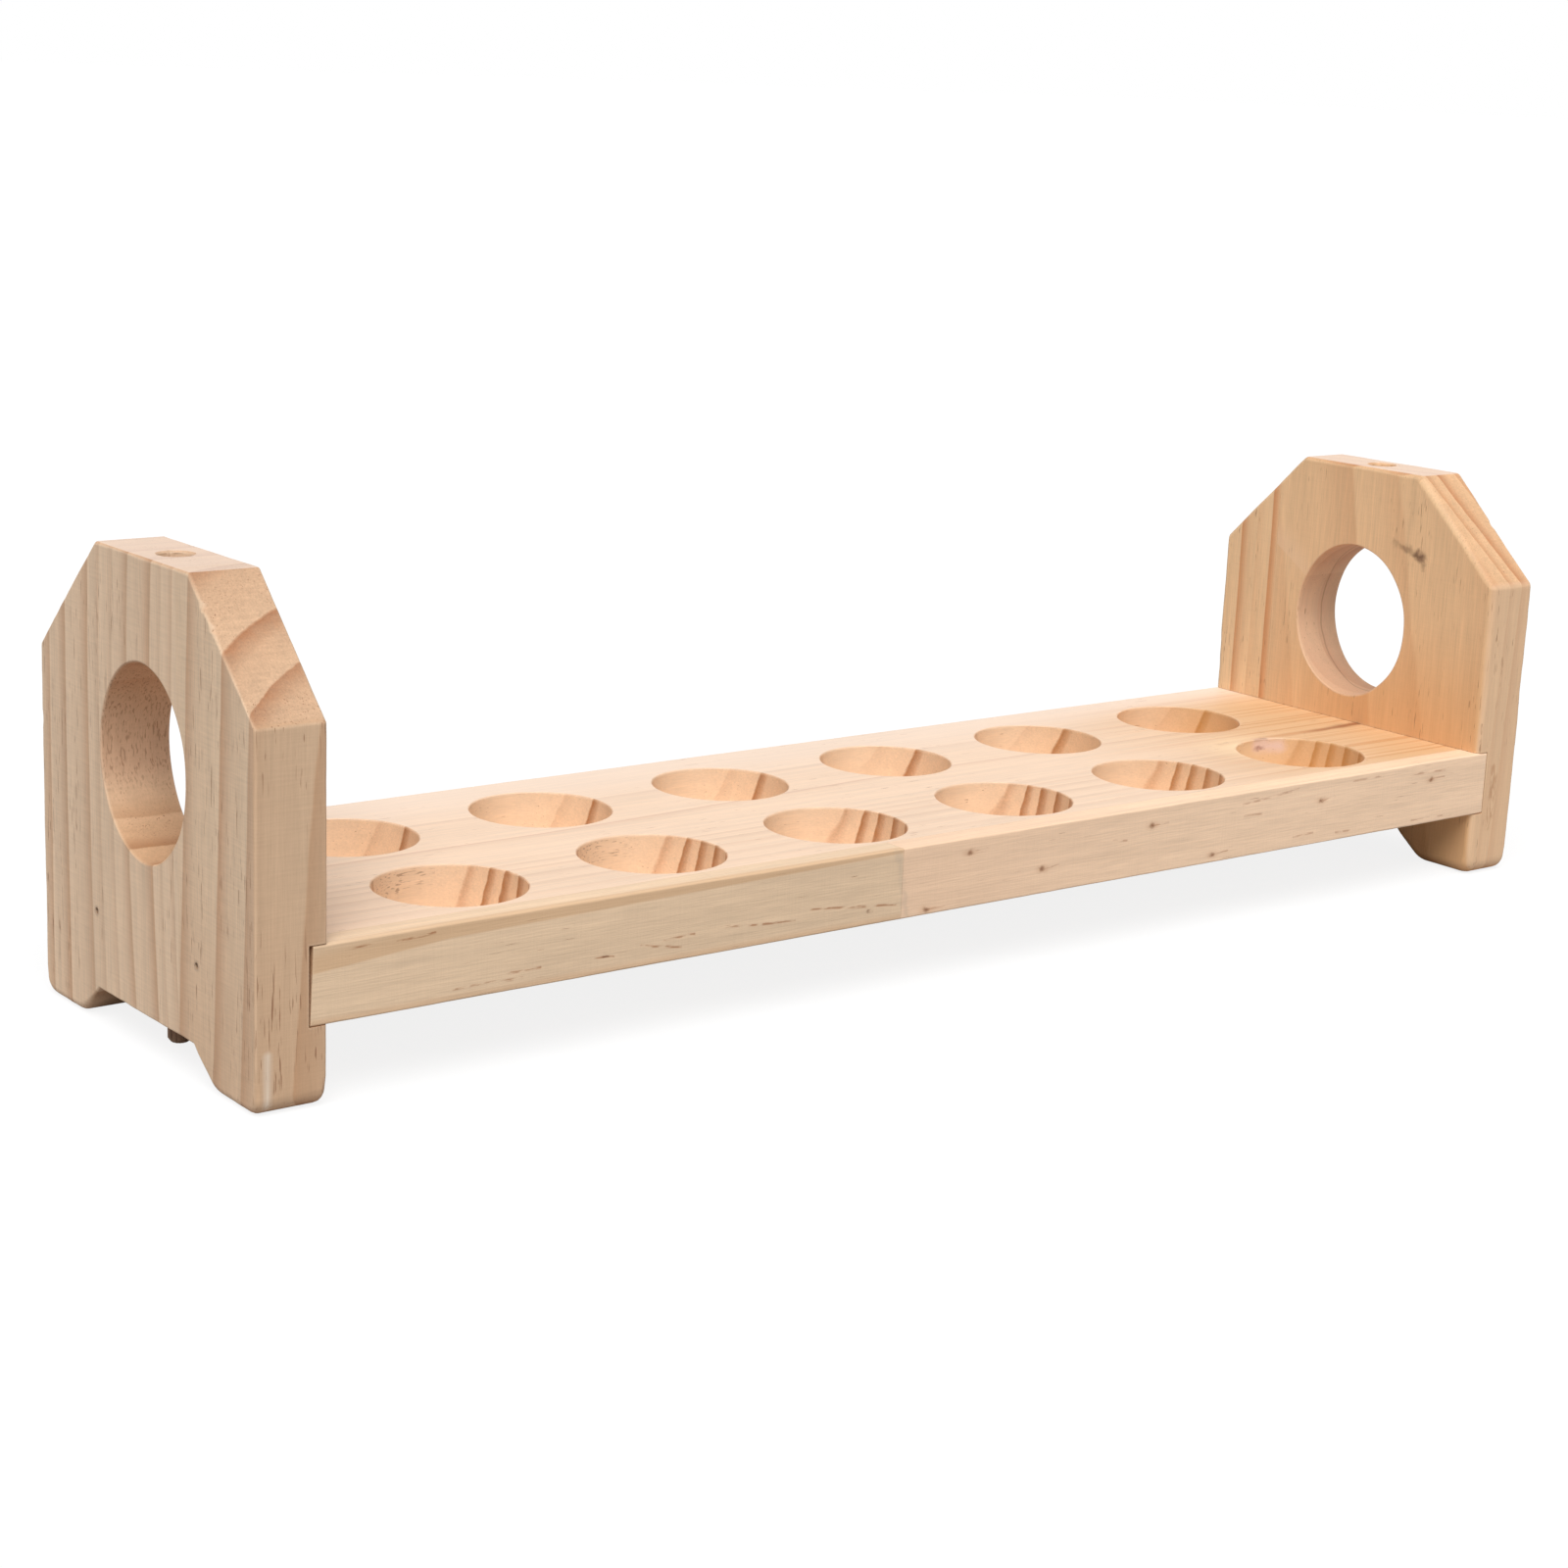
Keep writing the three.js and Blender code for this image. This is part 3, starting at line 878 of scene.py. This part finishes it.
def right_face_marks(wood):
    """A knot smear, a painted pool of light above the hand hole, and dark marks on the front edge."""
    face = HALF_LENGTH + INNER_FACE
    bent = wood.warped(2.6, 2.2)
    core = wood.near_point(at(face, 29, 94), (6, 3.4, 2.8), bent)
    arm = wood.near_line(at(face, 27.5, 91.5), at(face, 30, 94.5), 1.9, bent)
    tail = wood.near_line(at(face, 30, 94.4), at(face, 35, 96), 2.4, bent)
    wisp = wood.near_line(at(face, 34, 95.6), at(face, 39.5, 97), 2.0, bent)
    for mask, amount in ((core, 0.8), (arm, 0.55), (tail, 0.4), (wisp, 0.3)):
        wood.paint(mask, amount, (112, 78, 56))
    # Painted light: a pale patch above a slanting line by the hand hole, standing for light above a soft
    # shadow edge
    start, end = at(0, 75.5, 81.5), at(0, 87.5, 89)
    run = (end - start).normalized()
    from_start = wood.vector("SUBTRACT", wood.place, start)
    above = wood.measure("DOT_PRODUCT", from_start, (0, -run.z, run.y))
    patch = wood.times(wood.fade(above, -0.15, 0.3), wood.fade(above, 9, 1))
    patch = wood.times(patch, wood.fade(wood.back, 70, 77))
    wood.paint(patch, 0.45, (244, 208, 172))
    streak = dashes(wood, [((420, 0, 14), (420, 0, 33)), ((421, 0, 18), (421, 0, 30))], 1.9)
    nick = dashes(wood, [((413, 0, 39), (413, 0, 47)), ((411, 0.4, 73), (411, 0.4, 77))], 0.8)
    wood.paint(streak, 0.5, (170, 108, 66))
    wood.paint(nick, 0.75, RESIN)


def right_rear_pine():
    """Its rings stand square to the face, so they show as upright stripes."""
    wood = Pine("right_rear_pine", 2, (242, 204, 160), (202, 126, 70), (138, 90, 58))
    rings = [(84, 0.4), (91, 1.0), (97, 0.2), (103.5, 0.9), (116, 0.5)]
    late = wood.late_wood(wood.wander(wood.back), rings, growth=1, bulk=0.5)
    wood.show_rings(late, on_face=0.78, on_end=0.9)
    # Painted sheen on the top edge
    wood.paint(wood.on_top(), 0.6, PAINTED_SHEEN)
    return wood.finish(late, wood.flecks(0.4, 5, 0.33))


def shelf_pine(name, early):
    """Rings run the shelf's length and lean back as they go down; between the rows they bow back."""
    wood = Pine(name, 0, early, (176, 124, 82), (148, 92, 54))
    below = wood.minus(SHELF_HIGH.z, wood.z)
    slant = wood.shades(wood.back, 0, 110, [(0, 0.16), (50, 0.2), (80, 0.34), (110, 0.34)])
    lean = wood.times(below, slant)
    bends = [(0, 0), (113, 0.1), (158, 0.3), (215, 0.68), (250, 0.9), (345, 0.9), (412, 0.45), (430, 0.4)]
    bow = wood.shades(wood.along, 0, 430, bends)
    spread = wood.shades(wood.back, 0, 110, [(0, 0), (42, 0), (60, 1.0), (78, 0.7), (110, 0.7)])
    shift = wood.times(bow, spread, 10.0)
    across = wood.wander(wood.minus(wood.minus(wood.back, lean), shift))
    rings = [(13, 0.7), (20, 0.8), (27, 1.0), (32.5, 1.0), (36.8, 1.0), (41.2, 0.5)]
    rings += [(MIDDLE_RING, 0.9), (80.7, 1.0), (89, 0.25)]
    late = wood.late_wood(across, rings, growth=1, bulk=0.5, widest=3.2)
    return wood, late, across


def shelf_board_pine():
    """Painted sheen on its top, paler towards the back; orange towards the right end, with the marks that
    show from above.
    """
    wood, late, across = shelf_pine("shelf_board_pine", (240, 207, 176))
    wood.show_rings(late, on_face=0.28, on_end=1.05, soaked=(1.0, 0.97, 0.94, 1))
    # Painted sheen: paler early wood on the shelf's top face
    below_top = wood.fade(wood.z, SHELF_HIGH.z - 0.2, SHELF_HIGH.z - 0.7)
    off_edges = wood.fade(wood.math("ABSOLUTE", wood.y), BACK - 4, BACK - 5)
    top_sheen_between_rings = wood.times(below_top, off_edges, wood.fade(late, 0.5, 0.05))
    wood.paint(top_sheen_between_rings, 0.3, (250, 226, 192))
    middle_line = wood.fade(wood.math("ABSOLUTE", wood.minus(across, MIDDLE_RING)), 0.7, 0.1)
    wood.paint(wood.times(middle_line, wood.up), 0.35, (196, 134, 104))
    # Painted sheen on the shelf's top, stronger towards the back
    wood.paint(wood.times(wood.up, wood.fade(wood.back, 70, 108)), 0.5, PAINTED_SHEEN)
    wood.paint(wood.up, 0.22, PAINTED_SHEEN)
    far_end = wood.times(wood.fade(wood.along, 285, 410), wood.fade(wood.back, 108, 85))
    wood.paint(far_end, 0.6, (216, 162, 92))
    lines = wood.fade(wood.streaky(1.5, 170), 0.5, 0.64)
    lines = wood.times(lines, wood.times(far_end, wood.up))
    wood.paint(lines, 0.45, (196, 128, 70))
    bent = wood.warped((9, 2, 2), 0.9)
    resin_streak(wood, bent)
    pocket_knot(wood, bent)
    # Painted light in the back walls of three pockets
    painted_light_walls(wood)
    torn_walls(wood)
    return wood.finish(late, wood.flecks(0.4, 6, 0.29))


def resin_streak(wood, bent):
    """A brown streak on the shelf's top at its right end, darkest next to the end board."""
    top = SHELF_HIGH.z
    faint = wood.near_line(at(350, 47.5, top), at(396, 47.2, top), 2.6, bent)
    dark = wood.near_line(at(386, 46.9, top), at(413, 47.8, top), 2.0, bent)
    dark = wood.times(dark, wood.fade(wood.along, 382, 396))
    heart = wood.near_line(at(398, 47.6, top), at(413, 48.1, top), 3.2, bent)
    heart = wood.times(heart, wood.fade(wood.along, 394, 406))
    wood.paint(faint, 0.45, (190, 124, 76))
    wood.paint(dark, 0.75, (152, 92, 52))
    wood.paint(heart, 0.6, (146, 86, 48))


def pocket_knot(wood, bent):
    """A healed knot in the wall of the sixth front pocket, with painted light round it so that the wall
    looks as pale as the top.
    """
    top = SHELF_HIGH.z
    pale = wood.near_point(at(357, 40, top - 4), (24, 20, 20), bent)
    healed = wood.near_line(at(365.5, 47, top - 2), at(373, 44.6, top - 2.4), 3.4, bent)
    rim = wood.near_line(at(364.5, 47.4, top - 0.4), at(369, 46.8, top - 0.3), 0.9, bent)
    core = wood.near_point(at(366.5, 47, top - 2.8), (3.2, 2.6, 1.3), wood.warped(1.6, 1.2))
    # Painted light round the knot
    wood.paint(pale, 0.9, (254, 226, 186))
    wood.paint(healed, 0.85, (240, 212, 202))
    wood.paint(rim, 0.7, (156, 112, 90))
    wood.paint(core, 0.75, (156, 106, 92))


def painted_light_walls(wood):
    """Painted light high in the back wall of three pockets, where the walls look paler than their shading
    gives.
    """
    under_rim = wood.fade(wood.z, SHELF_HIGH.z - 0.2, SHELF_HIGH.z - 0.6)
    for row, column in ((1, 1), (1, 2), (0, 4)):
        pocket = POCKETS[row * len(POCKETS) // 2 + column]
        pale = wood.near_point(pocket + Vector((-9, POCKET_RADIUS - 4, 0)), (12, 10, 18))
        # Painted light under the pocket's rim
        wood.paint(wood.times(pale, under_rim), 0.6, (252, 232, 186))


def torn_walls(wood):
    """Pits torn along the fibres in the back walls of the first two front pockets."""
    top = SHELF_HIGH.z
    torn = wood.fade(wood.streaky(0.5, 4.5), 0.56, 0.68)
    under_rim = wood.fade(wood.z, top - 0.3, top - 0.8)
    for pocket in POCKETS[:2]:
        wall_top = Vector((pocket.x - 4, pocket.y + POCKET_RADIUS - 3, top - 2))
        near = wood.fade(wood.near_point(wall_top, (16, 9, 8)), 0.0, 0.5)
        wood.paint(wood.times(near, under_rim, torn), 0.5, RESIN)


def strip_pine(name, early, add_marks):
    """One half of the front edge strip, with greyish glue where the two halves meet."""
    wood, late, _ = shelf_pine(name, early)
    wood.show_rings(late, on_face=0.2, on_end=0.9)
    add_marks(wood)
    bent = wood.warped(3, 1.5)
    glue = wood.near_line(at(184, 0, SHELF_HIGH.z), at(188, 0, SHELF_LOW.z), 1.6, bent)
    wood.paint(glue, 0.3, (186, 168, 150))
    return wood.finish(late, wood.flecks(0.3, 8, 0.26))


def left_strip_marks(wood):
    """Tan late wood above a slanting line, greyish early wood under it, and long dashes."""
    line = wood.shades(wood.along, 0, 200, [(0, 0.30), (50, 0.343), (120, 0.356), (200, 0.37)])
    above = wood.minus(wood.z, wood.times(line, 100.0))
    band = wood.times(wood.fade(above, -0.1, 0.5), wood.fade(above, 9, 2))
    front = wood.fade(wood.back, 2.5, 1.0)
    bottom = wood.fade(wood.z, SHELF_LOW.z + 2.4, SHELF_LOW.z + 0.4)
    wood.paint(wood.times(band, front), 0.5, (204, 158, 110))
    wood.paint(bottom, 0.3, (206, 148, 96))
    long_dashes = [(23, 36, 30, 36.5), (36, 36, 46, 36.5), (51, 22, 70, 22), (66, 23.5, 75, 23.5),
                   (90, 23.5, 96, 23), (104, 24.5, 116, 22.5), (111, 25, 120, 25), (128, 25.5, 151, 24),
                   (156, 26, 172, 24.5), (172, 24.5, 184, 23.5)]
    spots = [(93, 23.5, 94.2, 23.5), (175, 23, 176.2, 23)]
    wood.paint(edge_dashes(wood, long_dashes, 0.5), 0.75, DASH)
    wood.paint(edge_dashes(wood, spots, 0.9), 0.8, RESIN)


def edge_dashes(wood, ends, reach):
    """1 on broken lines along the shelf's front edge, each given as [x, z, x, z]."""
    return dashes(wood, [((x0, 0, z0), (x1, 0, z1)) for x0, z0, x1, z1 in ends], reach)


def right_strip_marks(wood):
    """Darker wood at its left end, pin knots and short dashes."""
    wood.paint(wood.fade(wood.along, 300, 200), 0.2, (216, 172, 142))
    knots = [(194.5, 20.5), (209, 34), (235, 26), (275.5, 33), (300, 21.5), (343.5, 32), (391.5, 32.5)]
    short_dashes = [(261, 30.5, 266, 30), (311, 34.5, 334, 36.5), (312, 31, 319, 31), (356, 36, 370, 36),
                    (382, 35, 399, 35), (333, 22.5, 341, 22.5), (351, 21.5, 357, 21.5), (384, 21, 402, 20.5)]
    short_dashes += [(x, z, x + 6, z + 0.3) for x, z in knots]
    wood.paint(edge_dashes(wood, short_dashes, 0.55), 0.5, DASH)
    bent = wood.warped(1.5, 0.7)
    for x, z in knots:
        halo = wood.near_point(at(x, 0, z), (3.6, 1.5, 1.7), bent)
        core = wood.near_point(at(x, 0, z), (1.5, 1.2, 1.1), bent)
        wood.paint(halo, 0.4, (196, 140, 96))
        wood.paint(core, 0.85, (136, 88, 58))


def peg_wood():
    """Darker, rough dowel stock with a worn pale tip."""
    wood = Pine("peg_wood", 2, (178, 142, 116), (126, 92, 68), (84, 56, 40))
    stock = wood.mix(wood.streaks, wood.early, wood.late)
    wood.shade(stock, [(wood.fibres, 0.5), (wood.clouds, 0.2)])
    worn = wood.times(wood.fade(wood.z, PEG_LOW.z + 2.5, PEG_LOW.z), wood.fibres)
    wood.paint(worn, 0.9, (196, 164, 136))
    return wood.finish(wood.streaks, wood.flecks(0.4, 3, 0.42), roughness=0.75)


def brad_steel():
    """Dull wire with fine drawn scratches and a little rust."""
    steel = Pattern("brad_steel")
    drawn = steel.noise((4, 0.08, 0.08), detail=3)
    rust = steel.fade(steel.noise(0.7, detail=4), 0.5, 0.68)
    bare = steel.mix(drawn, srgb((40, 36, 33)), srgb((72, 66, 60)))
    metallic = steel.minus(0.9, steel.times(rust, 0.8))
    rough = steel.plus(0.35, steel.times(rust, 0.45))
    relief = steel.plus(steel.times(drawn, 0.01), steel.times(rust, 0.02))
    bump = steel.add("Bump", {"Height": relief, "Distance": MM, "Strength": 0.6})
    steel.show(Base_Color=steel.mix(rust, bare, srgb((58, 36, 24))), Metallic=metallic)
    steel.show(Roughness=rough, Normal=bump)
    return steel.material


# ---- Studio ----

def add_floor():
    """A wide white floor, just under the feet, that glows a little so that shadows on it stay pale."""
    far, gap = 20000.0, 0.2
    corners = [(-far, -far, 0), (far, -far, 0), (far, far, 0), (-far, far, 0)]
    mesh = mesh_from(corners, [(0, 1, 2, 3)])
    mesh.transform(Matrix.Translation((0, 0, -gap * MM)) @ Matrix.Scale(MM, 4))
    paint = Pattern("floor_paint")
    mottle = paint.noise(180.0, detail=3)
    seen = paint.node("LightPath").outputs["Is Camera Ray"]
    lit = paint.mix(mottle, srgb((176, 176, 176)), srgb((180, 180, 180)))
    paint.show(Base_Color=paint.mix(seen, lit, srgb((112, 112, 112))), Roughness=0.9)
    paint.show(Specular_IOR_Level=0.0, Emission_Color=(1, 1, 1, 1))
    paint.show(Emission_Strength=paint.times(seen, 0.85))
    mesh.materials.append(paint.material)
    new_object("floor", mesh)


def add_soft_sun(strength, spread, azimuth, elevation):
    """One large soft light; azimuth is measured like the camera's."""
    lamp = bpy.data.lights.new("soft_sun", "SUN")
    lamp.energy = strength
    lamp.angle = math.radians(spread)
    sun = new_object("soft_sun", lamp)
    sun.rotation_euler = towards(azimuth, elevation).to_track_quat("Z", "Y").to_euler()


def towards(azimuth, elevation):
    """The direction from the rack; 0 degrees is straight in front and negative is to the left."""
    azimuth, elevation = math.radians(azimuth), math.radians(elevation)
    level = math.cos(elevation)
    return Vector((math.sin(azimuth) * level, -math.cos(azimuth) * level, math.sin(elevation)))


def add_world(shining, seen):
    """White surroundings: dim where they light the rack, bright in reflections and to the camera."""
    world = bpy.data.worlds.new("studio")
    bpy.context.scene.world = world
    world.use_nodes = True
    sky = Nodes(world.node_tree)
    path = sky.node("LightPath").outputs
    direct = sky.math("MAXIMUM", path["Is Camera Ray"], path["Is Glossy Ray"])
    background = sky.tree.nodes["Background"]
    sky.feed(background.inputs["Color"], (1, 1, 1, 1))
    level = sky.add("MapRange", {"Value": direct, "To Min": shining, "To Max": seen})
    sky.feed(background.inputs["Strength"], level)


def add_camera():
    """From the front left, a little above the rack, with a long lens and a slight roll."""
    target = Vector((-0.0259, 0.0, 0.043))
    distance, roll = 0.814, math.radians(2.289)
    back = towards(azimuth=-38.14, elevation=13.59)
    data = bpy.data.cameras.new("camera")
    data.sensor_width, data.lens = 36.0, 68.84
    camera = new_object("camera", data)
    turn = (-back).to_track_quat("-Z", "Y").to_matrix() @ Matrix.Rotation(roll, 3, "Z")
    camera.matrix_world = Matrix.Translation(target + back * distance) @ turn.to_4x4()
    bpy.context.scene.camera = camera


# ---- The rack ----

def build_rack():
    """Every piece, each standing for the CAD node that is named last in its line."""
    front_left, rear_left = parted(end_board(-1), LEFT_GLUE)
    front_right, rear_right = parted(end_board(1), RIGHT_GLUE)
    board, left, right = shelf_parts()
    left_strip = strip_pine("left_strip_pine", (232, 202, 169), left_strip_marks)
    right_strip = strip_pine("right_strip_pine", (250, 215, 182), right_strip_marks)
    boards = [
        ("left_front_stave", front_left, left_front_pine(), "left_end_pine", "left_end_front_stave"),
        ("left_main_board", rear_left, left_main_pine(), "left_end_pine", "left_end_main_board"),
        ("right_main_board", front_right, right_main_pine(), "right_end_pine", "right_end_main_board"),
        ("right_rear_stave", rear_right, right_rear_pine(), "right_end_pine", "right_end_rear_stave"),
        ("shelf_board", board, shelf_board_pine(), "shelf_pine", "shelf_main_board"),
        ("shelf_strip_left", left, left_strip, "shelf_pine", "shelf_edge_strip_left"),
        ("shelf_strip_right", right, right_strip, "shelf_pine", "shelf_edge_strip_right"),
    ]
    for name, mesh, pine, slot, node in boards:
        add_piece(name, mesh, pine, node)
    dowel, steel = peg_wood(), brad_steel()
    for side, label in ((-1, "left"), (1, "right")):
        add_piece(f"{label}_peg", peg_mesh(side), dowel, f"{label}_stacking_peg")
        for row, box in zip(("front", "rear"), brad_boxes(side)):
            brad = brad_mesh(side, *box)
            add_piece(f"{label}_{row}_brad", brad, steel, f"brad_{label}_{row}")


build_rack()
add_floor()
add_world(shining=0.3, seen=1.0)
add_soft_sun(strength=2.9, spread=45, azimuth=-38, elevation=58)
add_camera()
bpy.context.scene.view_settings.view_transform = "Standard"
